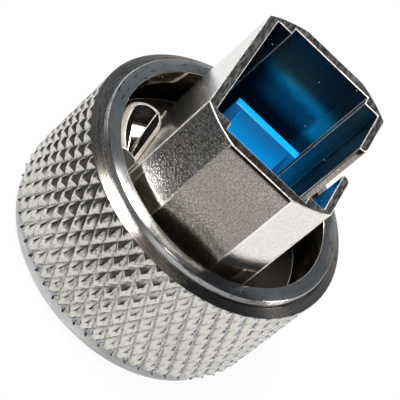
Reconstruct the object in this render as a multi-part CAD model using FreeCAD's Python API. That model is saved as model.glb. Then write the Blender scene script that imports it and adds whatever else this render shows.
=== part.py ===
import FreeCAD, Part
import math
import os

V = FreeCAD.Vector

# Interchangeable connector adapter with a knurled coupling nut, in millimetres.
# +Z is the axis of the nut and points out of the connector socket. The origin is the
# centre of the nut's bottom face. +X points to the wall with the key slot.

# Connector socket, for a push-in plug with a 2.5 mm ferrule
socket_width = 7.42           # along X, between the walls that hold the key
socket_length = 9.3           # along Y, between the walls that face the latch hooks
channel_width = 5.4           # relief in each end wall, where a hook can spread
channel_depth = 0.6
key_slot_width = 2.7
key_slot_depth = 6.22
socket_corner = 0.12

# Tower round the socket
side_wall = 0.57              # the flat wall on the -X side
key_wall = 0.47               # the wall with the key slot
end_wall = 0.65
corner_wall = 0.29
tower_height = 9.64
tower_edge = 0.18             # rounding of the upright edges between flats and arcs
key_wall_edge = 0.35          # rounding of the upright edges of the key wall

# Flange at the foot of the tower
flange_overhang = 0.28        # how far the flange reaches under the nut's lip
pocket_step = 0.12
web_thickness = 0.41
notch_width = 1.2
notch_depth = 0.45

# Locating boss on the flange, beside the tower
boss_height = 2.65
boss_gap = 0.33               # between the boss and the hole in the nut
boss_slope = 0.35
boss_reach = 0.7              # of the way to where the gap beside the tower closes
boss_ridge = 0.33             # this and the next as shares of the boss's width
boss_rim = 0.17

# Coupling nut
tower_gap = 0.52
bore_clearance = 0.08
nut_travel = 1.99
lip_thickness = 1.12
thread_length = 3.26
thread_relief = 0.41
relief_depth = 0.3
thread_lead = 0.27
band_height = 0.98
band_chamfer = 0.12
band_inset = 0.1
groove_wall = 0.53
lip_edge = 0.06

# Collar and shoulder above the knurl
collar_height = 0.61
collar_flat = 0.74
collar_bevel = 0.06
collar_bevel_height = 0.1
shoulder_groove = 0.12
shoulder_groove_depth = 0.2
shoulder_rise = 0.17
shoulder_over = 0.02          # how far the shoulder stands over the knurl

# Diamond knurl
knurl_count = 58
knurl_rows = 8                # half diamonds from the bottom edge to the top edge
knurl_depth = 0.32
knurl_flat = 0.36             # width of the flat top as a share of the whole diamond

# Retaining ring in the nut
ring_thickness = 0.51
ring_groove_depth = 0.32
ring_play = 0.02
ring_fit = 0.05
ring_width = 0.8
ring_gap = 24.0               # degrees

# Latch clip
clip_base_thickness = 0.61
clip_fit = 0.05
hook_top = 4.4               # below the socket's mouth
hook_gap = 4.24
hook_barb = 0.58
hook_ramp = 1.26
hook_nose = 0.15
hook_undercut = 0.12
hook_width = 4.5
barb_width = 3.5
arm_thickness = 0.56
arm_root = 0.35
hook_edge = 0.08

# Sleeve holder, its cap and the split sleeve
holder_disc_thickness = 0.51
holder_fit = 0.02
barrel_top = 6.78             # below the socket's mouth
barrel_wall = 0.5
barrel_lip = 0.25
spigot_length = 0.81
spigot_edge = 0.15
sleeve_bore = 2.5
sleeve_wall = 0.35
sleeve_fit = 0.06
sleeve_end_play = 0.05
sleeve_slit = 0.3
ferrule_entry = 0.1
cap_thickness = 0.3
cap_width = 0.29
cap_fit = 0.02

# Places worked out from the sizes above
half_width = socket_width / 2
half_length = socket_length / 2
tower_radius = math.hypot(half_width, half_length) + corner_wall
flat_x = half_width + side_wall
key_flat_x = half_width + key_wall
flat_y = half_length + channel_depth + end_wall
pocket_radius = tower_radius - pocket_step
hole_radius = tower_radius + tower_gap
flange_radius = hole_radius + flange_overhang
bore_radius = flange_radius + bore_clearance

ring_bottom = thread_length + thread_relief
flange_bottom = ring_bottom + ring_thickness
disc_top = flange_bottom + holder_disc_thickness
pocket_top = disc_top + clip_base_thickness
flange_top = pocket_top + web_thickness
mouth = flange_top + tower_height
lip_bottom = flange_top + nut_travel
nut_top = lip_bottom + lip_thickness

ring_groove_radius = bore_radius + ring_groove_depth
knurl_root = ring_groove_radius + groove_wall
knurl_tip = knurl_root + knurl_depth
band_radius = knurl_root - band_inset
knurl_top = nut_top - collar_height

sleeve_radius = sleeve_bore / 2 + sleeve_wall
holder_bore = sleeve_radius + sleeve_fit
barrel_radius = holder_bore + barrel_wall
spigot_bottom = flange_bottom - spigot_length
cap_top = spigot_bottom + cap_thickness
cap_radius = holder_bore + cap_width
lip_bore = sleeve_bore / 2 + ferrule_entry

very_long = 4 * (knurl_tip + mouth)
FLAT = 1e-6


def cylinder(radius, bottom, top):
    return Part.makeCylinder(radius, top - bottom, V(0, 0, bottom))


def block(x0, x1, y0, y1, z0, z1):
    return Part.makeBox(x1 - x0, y1 - y0, z1 - z0, V(x0, y0, z0))


def centred_block(width, length, bottom, top):
    return block(-width / 2, width / 2, -length / 2, length / 2, bottom, top)


def prism(points, direction):
    outline = Part.makePolygon(points + points[:1])
    return Part.Face(outline).extrude(direction)


def turned(profile):
    """Solid of revolution about Z from a closed list of (radius, height) points."""
    wire = Part.makePolygon([V(r, 0, z) for r, z in profile + profile[:1]])
    return Part.Face(wire).revolve(V(0, 0, 0), V(0, 0, 1), 360)


def upright_edges(shape):
    """Straight edges along Z, without the seam of a full cylinder."""
    found = []
    for edge in shape.Edges:
        box = edge.BoundBox
        if math.hypot(box.XLength, box.YLength) < FLAT and box.ZLength > FLAT:
            found.append(edge)
    return found


def knurl_node(column, row):
    """Point where two grooves cross."""
    angle = column * math.pi / knurl_count
    height = band_height + row * (knurl_top - band_height) / knurl_rows
    return V(knurl_root * math.cos(angle), knurl_root * math.sin(angle), height)


def flat_face(points):
    return Part.Face(Part.makePolygon(points + points[:1]))


def diamond_tips(column, row, corners):
    """Corners of the flat top of one diamond, each on the way from a given corner to the apex."""
    angle = column * math.pi / knurl_count
    outward = V(math.cos(angle), math.sin(angle), 0)
    apex_radius = knurl_root + knurl_depth / (1 - knurl_flat)
    apex = outward * apex_radius + V(0, 0, knurl_node(column, row).z)
    tips = []
    for corner in corners:
        reach = (knurl_tip - corner.dot(outward)) / (apex_radius - corner.dot(outward))
        tips.append(corner + (apex - corner) * reach)
    return tips


def diamond(column, row):
    """Faces of one truncated pyramid, or of the half that an end of the knurl leaves."""
    around = [knurl_node(column - 1, row)]
    if row < knurl_rows:
        around.append(knurl_node(column, row + 1))
    around.append(knurl_node(column + 1, row))
    if row > 0:
        around.append(knurl_node(column, row - 1))
    tips = diamond_tips(column, row, around)
    faces = [flat_face(tips)]
    whole = 0 < row < knurl_rows
    if row == 0 or whole:
        faces.append(flat_face([around[0], around[1], tips[1], tips[0]]))
        faces.append(flat_face([around[1], around[2], tips[2], tips[1]]))
    if row == knurl_rows or whole:
        faces.append(flat_face([around[-2], around[-1], tips[-1], tips[-2]]))
        faces.append(flat_face([around[-1], around[0], tips[0], tips[-1]]))
    return faces


def knurl_end(row, circle_radius):
    """Flat end of the knurl, between its square-cut end diamonds and a turned edge."""
    outline = []
    for column in range((row + 1) % 2, 2 * knurl_count, 2):
        sides = [knurl_node(column - 1, row), knurl_node(column + 1, row)]
        outline.append(sides[0])
        outline.extend(diamond_tips(column, row, sides))
    circle = Part.makeCircle(circle_radius, V(0, 0, outline[0].z))
    wires = [Part.makePolygon(outline + outline[:1]), Part.Wire(circle)]
    return Part.Face(wires, "Part::FaceMakerBullseye")


def coupling_nut():
    """Knurled nut: diamonds outside, and a turned bore, ring groove and lip inside."""
    shoulder_radius = knurl_tip + shoulder_over
    hole_edge = hole_radius + lip_edge
    flat_edge = hole_edge + collar_flat
    collar_radius = flat_edge + collar_bevel
    groove_radius = collar_radius + shoulder_groove
    shoulder_top = knurl_top + shoulder_rise
    profile = [
        (band_radius, band_height),
        (band_radius, band_chamfer),
        (band_radius - band_chamfer, 0),
        (bore_radius + thread_lead, 0),
        (bore_radius, thread_lead),
        (bore_radius, thread_length),
        (bore_radius + relief_depth, thread_length),
        (bore_radius + relief_depth, ring_bottom),
        (ring_groove_radius, ring_bottom),
        (ring_groove_radius, flange_bottom + ring_play),
        (bore_radius, flange_bottom + ring_play),
        (bore_radius, lip_bottom),
        (hole_radius, lip_bottom),
        (hole_radius, nut_top - lip_edge),
        (hole_edge, nut_top),
        (flat_edge, nut_top),
        (collar_radius, nut_top - collar_bevel_height),
        (collar_radius, shoulder_top - shoulder_groove_depth),
        (groove_radius, shoulder_top - shoulder_groove_depth),
        (groove_radius, shoulder_top),
        (shoulder_radius, knurl_top),
    ]
    wire = Part.makePolygon([V(r, 0, z) for r, z in profile])
    faces = wire.revolve(V(0, 0, 0), V(0, 0, 1), 360).Faces
    faces.append(knurl_end(0, band_radius))
    faces.append(knurl_end(knurl_rows, shoulder_radius))
    for row in range(knurl_rows + 1):
        for column in range(2 * knurl_count):
            if (column + row) % 2 == 1:
                faces.extend(diamond(column, row))
    shell = Part.Shell(faces)
    shell.sewShape()
    nut = Part.Solid(shell)
    if nut.Volume < 0:
        nut.reverse()
    return nut


def retaining_ring():
    """Flat open ring that holds the flange in the nut."""
    outer = ring_groove_radius - ring_fit
    ring = cylinder(outer, ring_bottom, flange_bottom)
    ring = ring.cut(cylinder(outer - ring_width, ring_bottom, flange_bottom))
    reach = 2 * outer
    half = math.radians(ring_gap / 2)
    wedge = prism([
        V(0, 0, ring_bottom),
        V(reach * math.sin(half), reach * math.cos(half), ring_bottom),
        V(-reach * math.sin(half), reach * math.cos(half), ring_bottom),
    ], V(0, 0, ring_thickness))
    return ring.cut(wedge)


def locating_boss():
    """Boss with a low roof and a round end, on the flange between tower and nut."""
    bottom = pocket_top
    top = flange_top + boss_height
    outer = hole_radius - boss_gap
    width = outer - flat_x
    length = boss_reach * math.sqrt(outer ** 2 - flat_x ** 2)
    ridge_x = -flat_x - width * boss_ridge

    # The round end runs smoothly into the outer side and the side at the tower
    outer_point = V(-outer, 0, bottom)
    side_point = V(-flat_x, 0, bottom)
    end_point = V(-flat_x - width / 2, width / 2, bottom)
    corner = V(-math.sqrt(outer ** 2 - length ** 2), -length, bottom)
    side_start = V(-flat_x, -length, bottom)
    half_angle = math.asin(length / outer) / 2
    middle = V(-outer * math.cos(half_angle), -outer * math.sin(half_angle), bottom)
    outline = Part.Wire([
        Part.Arc(corner, middle, outer_point).toShape(),
        Part.Arc(outer_point, end_point, side_point).toShape(),
        Part.makeLine(side_point, side_start),
        Part.makeLine(side_start, corner),
    ])
    boss = Part.Face(outline).extrude(V(0, 0, top - bottom))
    roof = prism([
        V(-outer, -length, bottom),
        V(-outer, -length, top - boss_slope),
        V(ridge_x, -length, top),
        V(-flat_x, -length, top - boss_slope / 2),
        V(-flat_x, -length, bottom),
    ], V(0, length + width, 0))
    boss = boss.common(roof)
    rim = []
    for edge in boss.Edges:
        box = edge.BoundBox
        is_ridge = box.ZMin > top - FLAT
        is_end = box.YMax < FLAT - length
        if box.ZMin > top - 2 * boss_slope and not is_ridge and not is_end:
            rim.append(edge)
    return boss.makeFillet(width * boss_rim, rim)


def adapter_body():
    """Tower with the socket, on a flange that turns in the nut."""
    tower = cylinder(tower_radius, flange_top, mouth)
    tower = tower.common(block(-flat_x, key_flat_x, -flat_y, flat_y, flange_top, mouth))
    corners = [edge for edge in upright_edges(tower) if edge.BoundBox.XMax < half_width]
    tower = tower.makeFillet(tower_edge, corners)
    tower = tower.cut(block(0, very_long, -key_slot_width / 2, key_slot_width / 2,
                            mouth - key_slot_depth, mouth))
    corners = [edge for edge in upright_edges(tower) if edge.BoundBox.XMin > half_width]
    tower = tower.makeFillet(key_wall_edge, corners)
    body = tower.fuse(cylinder(flange_radius, flange_bottom, flange_top))
    body = body.fuse(locating_boss())

    socket = centred_block(socket_width, socket_length, pocket_top, mouth)
    socket = socket.makeFillet(socket_corner, upright_edges(socket))
    channels = centred_block(channel_width, socket_length + 2 * channel_depth, pocket_top, mouth)
    pocket = cylinder(pocket_radius, flange_bottom, pocket_top)
    notch = block(-flange_radius - notch_depth, -flange_radius + notch_depth,
                  -notch_width / 2, notch_width / 2, flange_bottom, flange_top)
    for hollow in (socket, channels, pocket, notch):
        body = body.cut(hollow)
    return body.removeSplitter()


def latch_hook():
    """The hook on the +Y side: an upright arm with a ramped barb on its inner face."""
    top = mouth - hook_top
    inner = hook_gap / 2 + hook_barb
    outer = inner + arm_thickness
    arm = block(-hook_width / 2, hook_width / 2, inner, outer, disc_top, top)
    ridges = []
    for edge in arm.Edges:
        if edge.BoundBox.ZMin > top - hook_edge:
            ridges.append(edge)
    arm = arm.makeFillet(hook_edge, ridges)
    ramp_end = top - hook_edge - hook_ramp
    nose_end = ramp_end - hook_nose
    barb = prism([
        V(-barb_width / 2, inner, top - hook_edge),
        V(-barb_width / 2, hook_gap / 2, ramp_end),
        V(-barb_width / 2, hook_gap / 2, nose_end),
        V(-barb_width / 2, inner, nose_end + hook_undercut),
        V(-barb_width / 2, outer - hook_edge, nose_end + hook_undercut),
        V(-barb_width / 2, outer - hook_edge, top - hook_edge),
    ], V(barb_width, 0, 0))
    gusset = prism([
        V(-hook_width / 2, outer, pocket_top),
        V(-hook_width / 2, outer + arm_root, pocket_top),
        V(-hook_width / 2, outer, pocket_top + arm_root),
    ], V(hook_width, 0, 0))
    return arm.fuse(barb).fuse(gusset)


def latch_clip():
    """Moulded clip: a round base in the flange's pocket and two hooks that face in."""
    base = cylinder(pocket_radius - clip_fit, disc_top, pocket_top)
    near_hook = latch_hook()
    far_hook = near_hook.mirror(V(0, 0, 0), V(0, 1, 0))
    clip = base.fuse(near_hook).fuse(far_hook)
    return clip.cut(cylinder(barrel_radius + clip_fit, disc_top, pocket_top)).removeSplitter()


def sleeve_holder():
    """Turned holder: a disc that closes the pocket and a barrel round the split sleeve."""
    top = mouth - barrel_top
    return turned([
        (holder_bore, cap_top),
        (cap_radius + cap_fit, cap_top),
        (cap_radius + cap_fit, spigot_bottom),
        (barrel_radius + spigot_edge, spigot_bottom),
        (barrel_radius + 2 * spigot_edge, spigot_bottom + spigot_edge),
        (barrel_radius + 2 * spigot_edge, flange_bottom),
        (pocket_radius - holder_fit, flange_bottom),
        (pocket_radius - holder_fit, disc_top),
        (barrel_radius, disc_top),
        (barrel_radius, top - ferrule_entry),
        (barrel_radius - ferrule_entry, top),
        (lip_bore + ferrule_entry, top),
        (lip_bore, top - ferrule_entry),
        (lip_bore, top - barrel_lip),
        (holder_bore, top - barrel_lip),
    ])


def sleeve_cap():
    """Ring pressed into the holder's foot, which keeps the sleeve in."""
    ring = cylinder(cap_radius, spigot_bottom, cap_top)
    return ring.cut(cylinder(lip_bore, spigot_bottom, cap_top))


def alignment_sleeve():
    """Split sleeve that lines up two ferrules."""
    top = mouth - barrel_top - barrel_lip - sleeve_end_play
    sleeve = cylinder(sleeve_radius, cap_top, top)
    sleeve = sleeve.cut(cylinder(sleeve_bore / 2, cap_top, top))
    return sleeve.cut(block(-sleeve_radius, 0, -sleeve_slit / 2, sleeve_slit / 2, cap_top, top))


pieces = {
    "coupling_nut": coupling_nut,
    "retaining_ring": retaining_ring,
    "adapter_body": adapter_body,
    "latch_clip": latch_clip,
    "sleeve_holder": sleeve_holder,
    "sleeve_cap": sleeve_cap,
    "alignment_sleeve": alignment_sleeve,
}

os.makedirs("parts", exist_ok=True)
for name, build in pieces.items():
    shape = build()
    shape.exportStep(f"parts/{name}.step")
    print(name, "valid", shape.isValid(), "solids", len(shape.Solids), "faces", len(shape.Faces),
          "volume", round(shape.Volume, 3), "z", round(shape.BoundBox.ZMin, 3),
          round(shape.BoundBox.ZMax, 3))
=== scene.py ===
import bpy
import bmesh
from math import cos, hypot, pi, radians, sin
from mathutils import Matrix, Vector


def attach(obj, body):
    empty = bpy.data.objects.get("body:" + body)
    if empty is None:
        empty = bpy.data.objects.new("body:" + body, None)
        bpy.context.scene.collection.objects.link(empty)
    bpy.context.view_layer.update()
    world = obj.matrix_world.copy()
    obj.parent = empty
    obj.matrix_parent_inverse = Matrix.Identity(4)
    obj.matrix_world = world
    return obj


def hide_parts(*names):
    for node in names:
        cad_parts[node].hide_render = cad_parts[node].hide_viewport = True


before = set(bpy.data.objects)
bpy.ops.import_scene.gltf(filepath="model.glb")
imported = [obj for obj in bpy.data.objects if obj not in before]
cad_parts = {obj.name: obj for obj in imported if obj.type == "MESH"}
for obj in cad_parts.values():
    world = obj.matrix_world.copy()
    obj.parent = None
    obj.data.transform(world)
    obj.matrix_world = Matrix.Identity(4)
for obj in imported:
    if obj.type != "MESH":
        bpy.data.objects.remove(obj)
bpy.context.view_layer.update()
mm = 0.001
print("frame loaded:", ", ".join(sorted(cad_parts)))


class Field:
    # a socket of a node tree, so that shader maths reads as plain expressions

    def __init__(self, tree, socket=None):
        self.tree = tree
        self.socket = socket

    def add(self, kind, settings=None, values=None, out=0):
        node = self.tree.nodes.new("ShaderNode" + kind)
        for name, value in (settings or {}).items():
            setattr(node, name, value)
        for name, value in (values or {}).items():
            if isinstance(value, Field):
                self.tree.links.new(value.socket, node.inputs[name])
            else:
                node.inputs[name].default_value = value
        return Field(self.tree, node.outputs[out])

    def maths(self, operation, *others):
        return self.add("Math", {"operation": operation}, dict(enumerate((self, *others))))

    def __add__(self, other):
        return self.maths("ADD", other)

    def __sub__(self, other):
        return self.maths("SUBTRACT", other)

    def __rsub__(self, other):
        return self.add("Math", {"operation": "SUBTRACT"}, {0: other, 1: self})

    def __mul__(self, other):
        return self.maths("MULTIPLY", other)

    def __truediv__(self, other):
        return self.maths("DIVIDE", other)

    def __neg__(self):
        return self * -1

    def __abs__(self):
        return self.maths("ABSOLUTE")

    __radd__ = __add__
    __rmul__ = __mul__

    def part(self, axis):
        return self.add("SeparateXYZ", None, {0: self}, out=axis)

    def above(self, low, high):
        # 0 up to low, 1 from high on
        return self.add("MapRange", {"interpolation_type": "SMOOTHSTEP"},
                        {"Value": self, "From Min": low, "From Max": high})

    def blend(self, first, second):
        # 6, 7 and output 2 are the Mix node's colour sockets
        return self.add("Mix", {"data_type": "RGBA"}, {0: self, 6: first, 7: second}, out=2)


def rgb(red, green, blue):
    return (red, green, blue, 1)


def newMaterial(name, constants=None):
    # a material with its fixed values, the place on the object, and the surface shader
    material = bpy.data.materials.new(name)
    material.use_nodes = True
    surface = material.node_tree.nodes["Principled BSDF"]
    for socket, value in (constants or {}).items():
        surface.inputs[socket].default_value = value
    return material, Field(material.node_tree).add("TexCoord", out="Object"), surface


def drive(surface, **links):
    sockets = {"colour": "Base Color", "roughness": "Roughness", "metallic": "Metallic",
               "normal": "Normal"}
    for name, field in links.items():
        field.tree.links.new(field.socket, surface.inputs[sockets[name]])


def noise(place, scale, detail=3.0, roughness=0.55):
    return place.add("TexNoise", None, {"Vector": place, "Scale": scale, "Detail": detail,
                                        "Roughness": roughness})


def cells(place, scale, out="Distance"):
    return place.add("TexVoronoi", None, {"Vector": place, "Scale": scale}, out=out)


def relief(height):
    # height in mm over the surface
    return height.add("Bump", None, {"Height": height, "Strength": 1.0, "Distance": mm})


def stretched(place, x, y, z):
    return place.add("Mapping", None, {"Vector": place, "Scale": (x, y, z)})


def fromAxis(place):
    x, y = place.part("X"), place.part("Y")
    return (x * x + y * y).maths("SQRT")


def turnedPlace(place, along, across):
    # a place for marks that run round the axis; its seam is at the back
    angle = place.part("X").maths("ARCTAN2", -place.part("Y"))
    return place.add("CombineXYZ", None, {0: angle * along, 1: fromAxis(place) * across,
                                          2: place.part("Z") * across})


cameraPlace = {
    "spot": (-14.591, -83.085, 75.646),    # mm
    "right": (0.72548, 0.36072, 0.58614),
    "forward": (0.13396, 0.76134, -0.63436),
    "lens": 180.0,
    "sensor": 36.0,
    "clip": (0.002, 10.0),    # metres
}


def placeCamera():
    data = bpy.data.cameras.new("camera")
    camera = bpy.data.objects.new("camera", data)
    bpy.context.scene.collection.objects.link(camera)
    data.lens = cameraPlace["lens"]
    data.sensor_width = cameraPlace["sensor"]
    data.clip_start, data.clip_end = cameraPlace["clip"]
    right = Vector(cameraPlace["right"]).normalized()
    back = -Vector(cameraPlace["forward"]).normalized()
    up = back.cross(right).normalized()
    right = up.cross(back).normalized()
    turn = Matrix((right, up, back)).transposed().to_4x4()
    camera.matrix_world = Matrix.Translation(Vector(cameraPlace["spot"]) * mm) @ turn
    bpy.context.scene.camera = camera


placeCamera()
print("camera placed")


markBands = {
    # where a mark starts and where it is full, in mm
    "rimShade": (15.05, 15.22),       # height: painted shade, a dark band on the flats under the rim
    "peel": (9.1, 9.7),               # height: the rough skin starts a little over the nut
    "peelFades": (-1, 2),             # X
    "cornerX": (4.22, 4.24),          # X and Y: where the round sides meet the flats, painted bright there
    "cornerY": (5.84, 5.86),
    "farRim": (-5.6, -4.8),           # Y: painted shade, the rim is darker before it
    "glintPatchFrom": (10.2, 11.3),       # height: painted reflection, a bright patch on the socket's far wall
    "glintPatchTo": (11.9, 13.2),
    "glintPatchSide": (-2.5, -0.5),       # X
    "farWall": (4.8, 5.1),            # Y
    "keyWall": (3.4, 3.6),            # X
    "pastSlot": (-1.6, -1.0),         # Y: where the key slot begins
    "backChannel": (-3.0, -2.0),      # X: painted shade, the socket is dark before it
    "foot": (5.74, 6.2),              # height: painted shade, the flange is dark below it
    "shoulder": (7.68, 7.72),         # out from the axis
    "overKnurl": (8.1, 8.2),          # height
    "collar": (7.8, 8.2),             # height: only the collar is stained
    "shadeTowardsX": (-2, 3),              # X: painted shade, darker towards +X
    "grooves": (7.98, 8.12),          # out from the axis, from the knurl's grooves on
}


def past(field, band):
    low, high = markBands[band]
    return field.above(low * mm, high * mm)


rimRoll = {"from": 14.75, "over": 0.625, "depth": 0.2}    # how the flats roll over, mm


def satinFlat():
    # bead-blasted flats of the tower, rolled over a little towards the rim
    material, place, surface = newMaterial("satinFlat", {"Metallic": 1.0})
    height = place.part("Z")
    grain = noise(place, 9000, 2)
    blotch = noise(place, 420, 3)
    colour = blotch.above(0.3, 0.7).blend(rgb(0.36, 0.33, 0.295), rgb(0.46, 0.43, 0.39))
    colour = grain.above(0.35, 0.65).blend(rgb(0.22, 0.20, 0.175), colour)
    # painted shade: a dark band on the flats just under the rim
    colour = past(height, "rimShade").blend(colour, rgb(0.05, 0.046, 0.042))
    rise = ((height - rimRoll["from"] * mm) / (rimRoll["over"] * mm)).maths("MAXIMUM", 0)
    drive(surface, colour=colour, roughness=0.2 + 0.08 * blotch,
          normal=relief(0.002 * grain - rimRoll["depth"] * rise * rise))
    return material


def peelNickel():
    # the round sides between the flats: plated over a rougher skin, with painted highlights at the
    # corners
    material, place, surface = newMaterial("peelNickel", {"Metallic": 1.0})
    x, y, height = (place.part(axis) for axis in "XYZ")
    coarse = noise(place, 7500, 3, 0.65)
    fine = noise(place, 16000, 2)
    peeled = past(height, "peel") * (1 - past(x, "peelFades") * 0.85)
    cornerGlint = past(abs(y), "cornerY") + past(abs(x), "cornerX")
    skin = fine.above(0.3, 0.7) * peeled
    pits = coarse.above(0.45, 0.57) * peeled    # darker than the skin round them
    colour = skin.blend(rgb(0.84, 0.81, 0.775), rgb(0.62, 0.60, 0.57))
    colour = pits.blend(colour, rgb(0.30, 0.295, 0.285))
    # painted highlight: the corners are coloured bright
    colour = cornerGlint.blend(colour, rgb(0.92, 0.90, 0.87))
    drive(surface, colour=colour, roughness=0.12 + 0.06 * coarse + 0.1 * cornerGlint,
          normal=relief((0.032 * coarse + 0.006 * fine) * peeled))
    return material


def sideNickel():
    # the wide side flats: brighter, with faint diagonal milling streaks
    material, place, surface = newMaterial("sideNickel", {"Metallic": 1.0})
    streak = noise(stretched(place, 1, 700, 4500), 1.0, 3)
    grain = noise(place, 9000, 2)
    colour = streak.above(0.3, 0.75).blend(rgb(0.60, 0.59, 0.57), rgb(0.76, 0.75, 0.735))
    drive(surface, colour=colour, roughness=0.12 + 0.16 * streak, normal=relief(0.0012 * grain))
    return material


def rimNickel():
    # the milled end face of the tower, with painted shade on its near side
    material, place, surface = newMaterial("rimNickel", {"Metallic": 1.0})
    stroke = noise(stretched(place, 6500, 1500, 900), 1.0, 4, 0.65)
    patch = noise(place, 500, 3)
    cut = stroke.above(0.35, 0.75)
    colour = cut.blend(rgb(0.10, 0.098, 0.095), rgb(0.52, 0.51, 0.49))
    colour = patch.above(0.6, 0.8).blend(colour, rgb(0.70, 0.68, 0.64))
    # painted shade: darker tones for the rim's near side
    shadedNearSide = cut.blend(rgb(0.05, 0.048, 0.045), rgb(0.20, 0.19, 0.18))
    colour = past(place.part("Y"), "farRim").blend(shadedNearSide, colour)
    drive(surface, colour=colour, roughness=0.22 + 0.2 * stroke, normal=relief(0.004 * stroke))
    return material


def socketPolish():
    # burnished inner walls, with draw marks along the axis and specks of dust; their teal tones are
    # painted reflections of the blue clip
    material, place, surface = newMaterial("socketPolish")
    x, y, height = (place.part(axis) for axis in "XYZ")
    draw = noise(stretched(place, 1300, 1300, 90), 1.0, 3)
    chosen = place.add("SeparateColor", None, {0: cells(place, 3000, "Color")}).above(0.93, 0.94)
    speck = (1 - cells(place, 3000).above(0.10, 0.18)) * chosen
    # painted reflection: the teal tone stands for the blue clip mirrored in the walls
    colour = draw.above(0.2, 0.9).blend(rgb(0.07, 0.15, 0.155), rgb(0.13, 0.24, 0.245))
    # painted reflection: the far wall is dark teal with a bright teal patch
    glintPatch = past(height, "glintPatchFrom") * (1 - past(height, "glintPatchTo")) * past(x, "glintPatchSide")
    farReflection = glintPatch.blend(rgb(0.03, 0.065, 0.07), rgb(0.10, 0.60, 0.58))
    colour = past(y, "farWall").blend(colour, farReflection)
    # painted reflection: blue on the key wall, up to where the slot begins
    keyWallReflection = past(x, "keyWall") * (1 - past(y, "pastSlot"))
    colour = keyWallReflection.blend(colour, rgb(0.08, 0.37, 0.48))
    # painted shade: nearly black towards the back channel
    colour = past(x, "backChannel").blend(rgb(0.035, 0.035, 0.035), colour)
    colour = speck.blend(colour, rgb(0.7, 0.75, 0.75))
    drive(surface, colour=colour, metallic=1 - speck,
          roughness=0.22 + 0.10 * draw + 0.5 * speck, normal=relief(0.0015 * draw))
    return material


def footNickel():
    # flange, boss and everything that sits down in the nut
    material, place, surface = newMaterial("footNickel", {"Metallic": 0.75})
    grain = noise(place, 6000, 2)
    blotch = noise(place, 700, 3)
    colour = blotch.above(0.3, 0.75).blend(rgb(0.76, 0.69, 0.61), rgb(0.90, 0.84, 0.76))
    # painted shade: nearly black below the flange's top, down in the nut
    colour = past(place.part("Z"), "foot").blend(rgb(0.05, 0.042, 0.035), colour)
    drive(surface, colour=colour, roughness=0.2 + 0.14 * blotch, normal=relief(0.0025 * grain))
    return material


def bossRoof():
    # the low roof on the boss, in dark tones
    material, place, surface = newMaterial("bossRoof", {"Metallic": 1.0})
    stain = noise(place, 1300, 4, 0.6)
    grain = noise(place, 6000, 2)
    colour = stain.above(0.35, 0.7).blend(rgb(0.05, 0.043, 0.038), rgb(0.17, 0.15, 0.13))
    drive(surface, colour=colour, roughness=0.08 + 0.06 * stain, normal=relief(0.001 * grain))
    return material


def brightEdge():
    # broken edges, where handling has polished the plating
    material, place, surface = newMaterial("brightEdge", {"Metallic": 0.6})
    nick = noise(place, 2600, 3)
    grain = noise(place, 9000, 2)
    colour = nick.above(0.3, 0.62).blend(rgb(0.50, 0.46, 0.42), rgb(0.88, 0.83, 0.77))
    drive(surface, colour=colour, roughness=0.22 + 0.2 * grain, normal=relief(0.003 * nick))
    return material


def turnedNickel():
    # lathe-cut faces: gloss drawn out across fine rings, with stains, handling marks and painted
    # shade towards +X
    material, place, surface = newMaterial("turnedNickel", {
        "Metallic": 1.0, "Anisotropic": 0.92, "Anisotropic Rotation": 0.25})
    height = place.part("Z")
    rings = noise(turnedPlace(place, 2.0, 16000), 1.0, 3)
    stain = noise(turnedPlace(place, 9.0, 5000), 1.0, 4, 0.65)
    wide = noise(place, 420, 3)
    colour = wide.above(0.3, 0.7).blend(rgb(0.54, 0.56, 0.575), rgb(0.76, 0.75, 0.735))
    colour = (rings.above(0.42, 0.62) * 0.5).blend(colour, rgb(0.34, 0.345, 0.35))
    shoulder = past(fromAxis(place), "shoulder") * past(height, "overKnurl")
    shoulderTone = rings.above(0.3, 0.7).blend(rgb(0.24, 0.21, 0.185), rgb(0.58, 0.54, 0.50))
    colour = shoulder.blend(colour, shoulderTone)
    # painted shade: darker towards +X
    colour = (past(place.part("X"), "shadeTowardsX") * 0.45).blend(colour, rgb(0.20, 0.19, 0.18))
    stained = stain.above(0.56, 0.66) * past(height, "collar")
    colour = stained.blend(colour, rgb(0.12, 0.13, 0.145))
    colour = cells(place, 1900).above(0.06, 0.1).blend(rgb(0.95, 0.93, 0.90), colour)    # nicks
    drive(surface, colour=colour, roughness=0.18 + 0.1 * wide + 0.1 * stain.above(0.5, 0.7),
          normal=relief(0.0008 * rings + 0.002 * stain))
    return material


def boreNickel():
    # the plated hole in the nut: smooth, warm and nearly a mirror
    material, place, surface = newMaterial("boreNickel", {"Metallic": 1.0})
    rings = noise(turnedPlace(place, 1.2, 5000), 1.0, 3)
    cloud = noise(place, 500, 3)
    colour = cloud.above(0.3, 0.7).blend(rgb(0.74, 0.68, 0.60), rgb(0.86, 0.81, 0.74))
    drive(surface, colour=colour, roughness=0.07 + 0.1 * rings, normal=relief(0.003 * rings))
    return material


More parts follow.
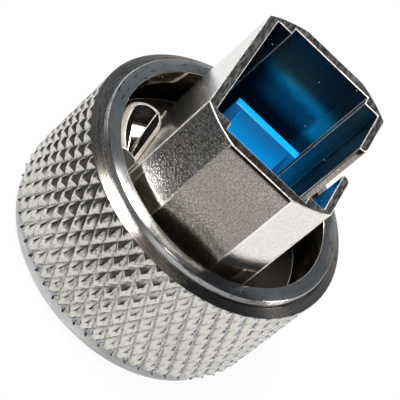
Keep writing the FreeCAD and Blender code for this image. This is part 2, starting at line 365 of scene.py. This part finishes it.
def knurlNickel():
    # plated over the cut knurl, with painted reflections and shade: each facet is toned by the way
    # it looks, and the grooves are painted darker
    material, place, surface = newMaterial("knurlNickel", {"Metallic": 1.0})
    way = place.add("TexCoord", out="Normal")
    overRadius = 120    # turns a place in metres into a share of the knurl's radius
    onward = (place.part("X") * way.part("Y") - place.part("Y") * way.part("X")) * overRadius
    grain = noise(place, 7000, 2)
    blotch = noise(place, 300, 3)
    streak = noise(turnedPlace(place, 60.0, 4000), 1.0, 3).above(0.4, 0.6)
    glintNoise = noise(turnedPlace(place, 160.0, 9000), 1.0, 2)
    crest = blotch.above(0.3, 0.7).blend(rgb(0.60, 0.575, 0.54), rgb(0.68, 0.655, 0.62))
    # painted shade: the grooves are darker than the crests
    grooveShade = streak.blend(rgb(0.20, 0.19, 0.18), rgb(0.44, 0.43, 0.41))
    # painted reflection: facets that face down are lighter
    below = streak.blend(rgb(0.42, 0.40, 0.375), rgb(0.63, 0.605, 0.57))
    # painted reflections and shade on facets that face up: grey ahead, dark to pale blue behind
    ahead = glintNoise.above(0.4, 0.6).blend(rgb(0.17, 0.158, 0.145), rgb(0.56, 0.535, 0.50))
    behind = glintNoise.above(0.44, 0.6).blend(rgb(0.05, 0.065, 0.10), rgb(0.42, 0.48, 0.56))
    top = past(fromAxis(place), "grooves").blend(grooveShade, crest)
    colour = (-way.part("Z")).above(0.12, 0.3).blend(top, below)
    upper = onward.above(-0.3, 0.1).blend(behind, ahead)
    colour = way.part("Z").above(0.12, 0.3).blend(colour, upper)
    drive(surface, colour=colour, roughness=0.10 + 0.06 * grain, normal=relief(0.0010 * grain))
    return material


def blueMoulding():
    # semi-gloss moulded plastic
    material, place, surface = newMaterial("blueMoulding", {
        "IOR": 1.49, "Subsurface Weight": 0.08, "Subsurface Radius": (0.0002, 0.0004, 0.001),
        "Subsurface Scale": 1.0})
    skin = noise(place, 3500, 3)
    flow = noise(stretched(place, 200, 500, 200), 1.0, 2)
    colour = flow.above(0.3, 0.7).blend(rgb(0.0, 0.26, 0.70), rgb(0.0, 0.31, 0.80))
    drive(surface, colour=colour, roughness=0.24 + 0.14 * skin, normal=relief(0.001 * skin))
    return material


def springSteel():
    # rolled strip, for the ring in the nut
    material, place, surface = newMaterial("springSteel", {"Metallic": 1.0})
    roll = noise(stretched(place, 400, 6000, 400), 1.0, 3)
    colour = roll.above(0.3, 0.7).blend(rgb(0.40, 0.40, 0.41), rgb(0.52, 0.52, 0.52))
    drive(surface, colour=colour, roughness=0.24 + 0.2 * roll, normal=relief(0.002 * roll))
    return material


def groundCeramic():
    # zirconia, ground smooth, slightly translucent
    material, place, surface = newMaterial("groundCeramic", {
        "IOR": 2.1, "Subsurface Weight": 0.25, "Subsurface Radius": (0.0008, 0.0007, 0.0005),
        "Subsurface Scale": 1.0})
    fine = 30000
    rings = place.add("CombineXYZ", None, {0: place.part("Z") * fine, 1: fromAxis(place) * fine})
    grind = noise(rings, 1.0, 2)
    cloud = noise(place, 900, 2)
    colour = cloud.above(0.3, 0.7).blend(rgb(0.86, 0.85, 0.80), rgb(0.90, 0.89, 0.86))
    drive(surface, colour=colour, roughness=0.12 + 0.12 * grind, normal=relief(0.0004 * grind))
    return material


finish = {make.__name__: make() for make in (
    satinFlat, peelNickel, sideNickel, rimNickel, socketPolish, footNickel, turnedNickel,
    boreNickel, knurlNickel, brightEdge, bossRoof, blueMoulding, springSteel, groundCeramic)}
print("finishes made:", len(finish))


meshCare = {
    "merge": 0.002,           # corners of a CAD node closer than this are one, mm
    "flatAngle": 0.6,         # faces that turn by less are one, degrees
    "smoothAngle": 35,        # shading is smooth over flatter edges, degrees
}


def solidFrom(node):
    # a merged copy of a CAD node, with its flat faces whole again
    bm = bmesh.new()
    bm.from_mesh(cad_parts[node].data)
    bmesh.ops.remove_doubles(bm, verts=bm.verts, dist=meshCare["merge"] * mm)
    bmesh.ops.dissolve_limit(bm, angle_limit=radians(meshCare["flatAngle"]), verts=bm.verts,
                             edges=bm.edges, delimit={"NORMAL"})
    return bm


def sharpEdges(bm, angle, keep=lambda edge: True):
    return [edge for edge in bm.edges
            if len(edge.link_faces) == 2 and edge.calc_face_angle(0) > radians(angle) and keep(edge)]


def openEdges(bm):
    return sum(len(edge.link_faces) != 2 for edge in bm.edges)


def breakEdges(bm, edges, width, segments, finishIndex=None):
    made = bmesh.ops.bevel(bm, geom=edges, offset=width * mm, segments=segments, profile=0.5,
                           affect="EDGES", material=-1, clamp_overlap=False)
    if finishIndex is not None:
        for face in made["faces"]:
            face.material_index = finishIndex


def orderFaces(bm):
    # a bevel's faces come in another order on each run, and the smoothing depends on it
    for place, face in enumerate(sorted(bm.faces, key=lambda face: face.calc_center_median()[:])):
        face.index = place
    bm.faces.sort()


def finishPiece(bm, name, materials, body, replaced=(), smoothAngle=meshCare["smoothAngle"],
                flat=()):
    # makes the piece; flat lists the finishes that are shaded flat
    mesh = bpy.data.meshes.new(name)
    bm.normal_update()
    orderFaces(bm)
    bm.to_mesh(mesh)
    bm.free()
    for face in mesh.polygons:
        face.use_smooth = face.material_index not in flat
    mesh.set_sharp_from_angle(angle=radians(smoothAngle))
    for material in materials:
        mesh.materials.append(finish[material])
    piece = bpy.data.objects.new(name, mesh)
    bpy.context.scene.collection.objects.link(piece)
    if not flat:
        weigh = piece.modifiers.new("faceWeights", "WEIGHTED_NORMAL")
        weigh.keep_sharp = True
    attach(piece, body)
    if replaced:
        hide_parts(*replaced)
    print(f"{name}: {len(mesh.polygons)} faces")


towerLook = {
    "finishes": ["satinFlat", "peelNickel", "sideNickel", "rimNickel", "socketPolish", "footNickel",
                 "brightEdge", "bossRoof"],
    "edge": 0.05,             # width of the broken edges, mm
    "roofEdge": 0.035,        # and of those of the boss's roof
    "segments": 2,
    "sharp": 25,              # edges sharper than this are broken, degrees
    "roofSharp": 4,
    # places in mm, which tell the tower's faces apart
    "rimFrom": 15.33,
    "footTop": 5.74,          # just over the flange
    "socketFrom": 5.22,       # the socket's walls start here
    "socketHalf": (3.73, 5.28),
    "socketReach": 6.15,      # no wall of the socket lies further from the axis
    "towerReach": 6.26,
    "slotHalf": 2.5,          # the sides of the key slot lie within this of the middle
    "flatX": 4.30,            # just outside the flat beside the boss
    "roofArea": 0.25,         # the boss's roof has no smaller faces, square mm
    # how squarely a face looks along an axis, or out from the upright one
    "level": 0.9,
    "square": 0.98,
    "leaning": 0.5,
    "onArc": 0.9985,
}


def towerFinish(face):
    # which of the tower's finishes a face takes, from where it lies and where it looks
    look = towerLook
    at, way = face.calc_center_median() / mm, face.normal
    far = hypot(at.x, at.y)
    socketX, socketY = look["socketHalf"]
    outward = Vector((at.x, at.y, 0)).normalized().dot(way)
    byBoss = at.x < -look["flatX"]
    inSlot = at.x > socketX and abs(at.y) < look["slotHalf"]
    inSocket = abs(at.x) < socketX and abs(at.y) < socketY and far < look["socketReach"]
    if way.z > look["level"] and at.z > look["rimFrom"]:
        return "rimNickel"
    if way.z > look["level"] and at.z < look["footTop"]:
        return "footNickel"
    if byBoss and way.z > look["leaning"] and face.calc_area() > look["roofArea"] * mm * mm:
        return "bossRoof"
    if inSlot and way.x < look["square"]:
        return "satinFlat"
    if inSocket and at.z > look["socketFrom"]:
        return "socketPolish"
    if at.z < look["footTop"] or far > look["towerReach"] or byBoss:
        return "footNickel"
    if abs(way.y) > look["square"]:
        return "satinFlat"
    if abs(way.x) > look["square"]:
        return "sideNickel"
    if outward <= look["leaning"]:
        return "socketPolish"
    return "brightEdge" if outward < look["onArc"] else "peelNickel"


def makeTower():
    bm = solidFrom("adapter_body")
    names = towerLook["finishes"]
    for face in bm.faces:
        face.material_index = names.index(towerFinish(face))
    roof, bright = names.index("bossRoof"), names.index("brightEdge")
    ridge = sharpEdges(bm, towerLook["roofSharp"],
                       lambda edge: any(face.material_index == roof for face in edge.link_faces))
    other = [edge for edge in sharpEdges(bm, towerLook["sharp"]) if edge not in ridge]
    breakEdges(bm, other, towerLook["edge"], towerLook["segments"], bright)
    ridge = [edge for edge in ridge if edge.is_valid]
    breakEdges(bm, ridge, towerLook["roofEdge"], towerLook["segments"], bright)
    finishPiece(bm, "tower", names, "adapter", ["adapter_body"])


nutLook = {
    "finishes": ["knurlNickel", "turnedNickel", "boreNickel"],    # knurl, turned faces, hole
    "edge": 0.02,             # width of the broken edges, mm
    "segments": 1,
    "facetSharp": 20,         # edges sharper than this are broken, degrees
    "turnedSharp": 25,
    "knurl": (0.98, 8.21),    # heights of the knurl's ends, mm
    "rows": 8,
    "count": 58,
    "drop": 0.33,             # how far the rows sit below the solid's, mm
    "turn": 0.7,              # and how far they are turned, degrees
    "root": 7.9,              # faces outside this radius are the knurl
    "hole": 7.3,              # upright faces inside this radius are the hole
    "level": 0.99,            # a face that looks along the axis more squarely is an end
    "upright": 0.9,           # and one that looks along it less squarely stands upright
    # how close corners and faces lie to where they belong, mm
    "near": 0.01,
    "exact": 0.001,
    "cut": 0.0001,
    "merge": 0.003,
}

threadLook = {
    "plain": 7.119,           # radius of the solid's bore, which stands for the crests
    "root": 7.34,
    "top": 3.4,               # the bore is opened to the roots below this height
    "pitch": 0.5,
    "start": 0.47,            # height of the first crest
    "turns": 5,
    "steps": 96,              # in each turn
    "halfTooth": 0.48,        # as a share of the pitch
    "buried": 0.02,           # how deep the tooth's foot lies in the wall
    "smoothAngle": 50,
}


def onKnurl(face):
    at = face.calc_center_median() / mm
    low, high = nutLook["knurl"]
    return (low < at.z < high and hypot(at.x, at.y) > nutLook["root"]
            and abs(face.normal.z) < nutLook["level"])


def onKnurlEnd(face):
    level = face.calc_center_median().z / mm
    off = min(abs(level - end) for end in nutLook["knurl"])
    return abs(face.normal.z) > nutLook["level"] and off < nutLook["near"]


def knurlPart(turn, rise, low, high):
    # a copy of the knurl alone, moved and cut off between two heights
    bm = solidFrom("coupling_nut")
    bmesh.ops.delete(bm, geom=[face for face in bm.faces if not onKnurl(face)], context="FACES")
    bmesh.ops.rotate(bm, cent=(0, 0, 0), matrix=Matrix.Rotation(turn, 3, "Z"), verts=bm.verts)
    bmesh.ops.translate(bm, vec=(0, 0, rise * mm), verts=bm.verts)
    for level, way in ((low, -1), (high, 1)):
        bmesh.ops.bisect_plane(bm, geom=bm.verts[:] + bm.edges[:] + bm.faces[:],
                               dist=nutLook["cut"] * mm, plane_co=(0, 0, level * mm),
                               plane_no=(0, 0, way), clear_outer=True)
    mesh = bpy.data.meshes.new("knurlPart")
    bm.to_mesh(mesh)
    bm.free()
    return mesh


def openBore(bm):
    # the plain bore is opened out to the thread's roots
    plain, root, top = (threadLook[name] for name in ("plain", "root", "top"))
    for corner in bm.verts:
        radius = hypot(*corner.co.xy) / mm
        if abs(radius - plain) < nutLook["near"] and corner.co.z / mm < top:
            corner.co.xy *= root / radius


def moveKnurl(bm):
    # the knurl goes out and two moved copies of it come in, which fill the same height
    low, high = nutLook["knurl"]
    pitch = (high - low) / nutLook["rows"]
    drop, turn = nutLook["drop"], radians(nutLook["turn"])
    bmesh.ops.delete(bm, geom=[face for face in bm.faces if onKnurl(face) or onKnurlEnd(face)],
                     context="FACES")
    for part in (knurlPart(turn, -drop, low, high - drop),
                 knurlPart(turn + pi / nutLook["count"], pitch - drop, high - drop, high)):
        bm.from_mesh(part)
        bpy.data.meshes.remove(part)
    bmesh.ops.remove_doubles(bm, verts=bm.verts, dist=nutLook["merge"] * mm)
    for level in (low, high):
        ring = [edge for edge in bm.edges if len(edge.link_faces) == 1 and all(
            abs(corner.co.z / mm - level) < nutLook["exact"] for corner in edge.verts)]
        bmesh.ops.triangle_fill(bm, use_beauty=True, use_dissolve=False, edges=ring)
    bmesh.ops.recalc_face_normals(bm, faces=bm.faces)


def makeNut():
    bm = solidFrom("coupling_nut")
    openBore(bm)
    moveKnurl(bm)
    knurl, turned, hole = range(len(nutLook["finishes"]))
    for face in bm.faces:
        far = hypot(*face.calc_center_median().xy) / mm
        inHole = far < nutLook["hole"] and abs(face.normal.z) < nutLook["upright"]
        face.material_index = knurl if onKnurl(face) else hole if inHole else turned
    facetEdges = sharpEdges(bm, nutLook["facetSharp"], lambda edge: all(
        face.material_index == knurl for face in edge.link_faces))
    turnedEdges = sharpEdges(bm, nutLook["turnedSharp"], lambda edge: all(
        face.material_index != knurl for face in edge.link_faces))
    breakEdges(bm, turnedEdges + facetEdges, nutLook["edge"], nutLook["segments"])
    print("nut's open edges:", openEdges(bm))
    finishPiece(bm, "nut", nutLook["finishes"], "nut", ["coupling_nut"],
                flat=[knurl])


def makeThread():
    # the fine thread in the nut's bore, one tooth swept round and up the axis
    bm = bmesh.new()
    pitch, foot = threadLook["pitch"], threadLook["root"] + threadLook["buried"]
    half = threadLook["halfTooth"] * pitch
    tooth = [(foot, -half), (threadLook["plain"], 0.0), (foot, half)]
    points = [bm.verts.new((r * mm, 0, (threadLook["start"] + z) * mm)) for r, z in tooth]
    edges = [bm.edges.new((points[i - 1], points[i])) for i in range(len(points))]
    turns, steps = threadLook["turns"], threadLook["steps"]
    bmesh.ops.spin(bm, geom=points + edges, cent=(0, 0, 0), axis=(0, 0, 1),
                   dvec=(0, 0, pitch * mm / steps), angle=2 * pi * turns, steps=steps * turns,
                   use_merge=False)
    bmesh.ops.holes_fill(bm, edges=bm.edges[:], sides=len(tooth))
    bmesh.ops.recalc_face_normals(bm, faces=bm.faces)
    print("thread's open edges:", openEdges(bm))
    finishPiece(bm, "nutThread", ["turnedNickel"], "nut",
                smoothAngle=threadLook["smoothAngle"])


clipLook = {
    "edge": 0.05,             # width of the broken edges, mm
    "segments": 2,
    "sharp": 25,              # edges sharper than this are broken, degrees
}


def makeClip():
    bm = solidFrom("latch_clip")
    breakEdges(bm, sharpEdges(bm, clipLook["sharp"]), clipLook["edge"], clipLook["segments"])
    finishPiece(bm, "clip", ["blueMoulding"], "adapter", ["latch_clip"])


plainNodes = {
    # nodes that show as the solids they are, and their finishes
    "retaining_ring": "springSteel",
    "sleeve_holder": "footNickel",
    "sleeve_cap": "footNickel",
    "alignment_sleeve": "groundCeramic",
}


def coatPlainNodes():
    for node, name in plainNodes.items():
        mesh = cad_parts[node].data
        mesh.materials.clear()
        mesh.materials.append(finish[name])


makeTower()
makeNut()
makeThread()
makeClip()
coatPlainNodes()
print("pieces made")


floorLook = {
    "half": 3.0,              # metres
    "colour": rgb(0.82, 0.82, 0.82),
    "white": 0.95,            # how far the floor shows as plain white to the camera and to gloss
    # the part of the floor that gloss sees as dark: its middle in degrees, how squarely it lies
    # that way, its distance in metres and its tone
    "darkMiddle": 214,
    "darkSpread": (0.62, 0.88),
    "darkFrom": (0.0125, 0.0165),
    "darkTone": rgb(0.012, 0.013, 0.016),
}


def makeFloor():
    bm = bmesh.new()
    bmesh.ops.create_grid(bm, x_segments=1, y_segments=1, size=floorLook["half"])
    mesh = bpy.data.meshes.new("floor")
    bm.to_mesh(mesh)
    bm.free()
    floor = bpy.data.objects.new("floor", mesh)
    bpy.context.scene.collection.objects.link(floor)
    material, place, surface = newMaterial("paleFloor", {
        "Roughness": 0.9, "Base Color": floorLook["colour"]})
    camera, glossy, clear = (place.add("LightPath", out=f"Is {kind} Ray")
                             for kind in ("Camera", "Glossy", "Transmission"))
    seen = camera.maths("MAXIMUM", glossy).maths("MAXIMUM", clear)
    middle = radians(floorLook["darkMiddle"])
    radius = fromAxis(place)
    atAxis = 0.0001    # keeps the division whole on the axis
    toMiddle = (place.part("X") * cos(middle) + place.part("Y") * sin(middle)) / (radius + atAxis)
    dark = (toMiddle.above(*floorLook["darkSpread"]) * radius.above(*floorLook["darkFrom"])
            * (1 - camera))
    white = dark.add("Emission", None, {
        "Color": dark.blend(rgb(1, 1, 1), floorLook["darkTone"]), "Strength": 1.0})
    lit = Field(material.node_tree, surface.outputs[0])
    both = seen.add("MixShader", None, {0: seen * floorLook["white"], 1: lit, 2: white})
    both.tree.links.new(both.socket, both.tree.nodes["Material Output"].inputs["Surface"])
    mesh.materials.append(material)


skyLook = {
    "overhead": rgb(0.03, 0.035, 0.045),
    "middle": rgb(0.16, 0.18, 0.195),
    "left": rgb(0.55, 0.60, 0.68),      # the bright band low at the back, from left to right
    "right": rgb(0.95, 0.93, 0.90),
    # each of these runs from a share of the full height, depth or width to another
    "leftToRight": (-0.6, 0.4),
    "lowEnds": (0.10, 0.36),
    "lowBack": (-0.2, 0.5),
    "middleEnds": (0.72, 0.9),
    "middleBack": (0.25, 0.6),
}


def makeWorld():
    # bright low down at the back, dim overhead and in front; plain white to the camera
    world = bpy.data.worlds.new("studio")
    bpy.context.scene.world = world
    world.use_nodes = True
    way = Field(world.node_tree).add("TexCoord", out="Generated")
    x, y, z = (way.part(axis) for axis in "XYZ")
    low = (1 - z.above(*skyLook["lowEnds"])) * y.above(*skyLook["lowBack"])
    middle = (1 - z.above(*skyLook["middleEnds"])) * y.above(*skyLook["middleBack"])
    band = x.above(*skyLook["leftToRight"]).blend(skyLook["left"], skyLook["right"])
    sky = low.blend(middle.blend(skyLook["overhead"], skyLook["middle"]), band)
    seen = way.add("LightPath", out="Is Camera Ray").blend(sky, rgb(1, 1, 1))
    backdrop = way.add("Background", None, {"Color": seen, "Strength": 1.0})
    way.tree.links.new(backdrop.socket, way.tree.nodes["World Output"].inputs["Surface"])


lamps = {
    # spot in mm, size in mm, power in watts, colour
    "overheadBox": {"spot": (-76, 8, 275), "size": (110, 60), "power": 1.6,
                    "colour": (1.0, 0.98, 0.95)},
    "frontBox": {"spot": (30, -180, 240), "size": (50, 40), "power": 0.1,
                 "colour": (1.0, 0.97, 0.93)},
    "rightBox": {"spot": (230, 40, 90), "size": (60, 60), "power": 0.25,
                 "colour": (1.0, 0.95, 0.9)},
}
lampAim = (0, 0, 8)    # mm


def makeLamps():
    for name, lamp in lamps.items():
        data = bpy.data.lights.new(name, "AREA")
        data.shape = "RECTANGLE"
        data.size, data.size_y = (side * mm for side in lamp["size"])
        data.energy = lamp["power"]
        data.color = lamp["colour"]
        item = bpy.data.objects.new(name, data)
        bpy.context.scene.collection.objects.link(item)
        item.location = Vector(lamp["spot"]) * mm
        item.rotation_mode = "QUATERNION"
        aim = (Vector(lampAim) - Vector(lamp["spot"])) * mm
        item.rotation_quaternion = aim.to_track_quat("-Z", "Y")


makeFloor()
makeWorld()
makeLamps()
bpy.context.scene.view_settings.view_transform = "Standard"
print("studio set")
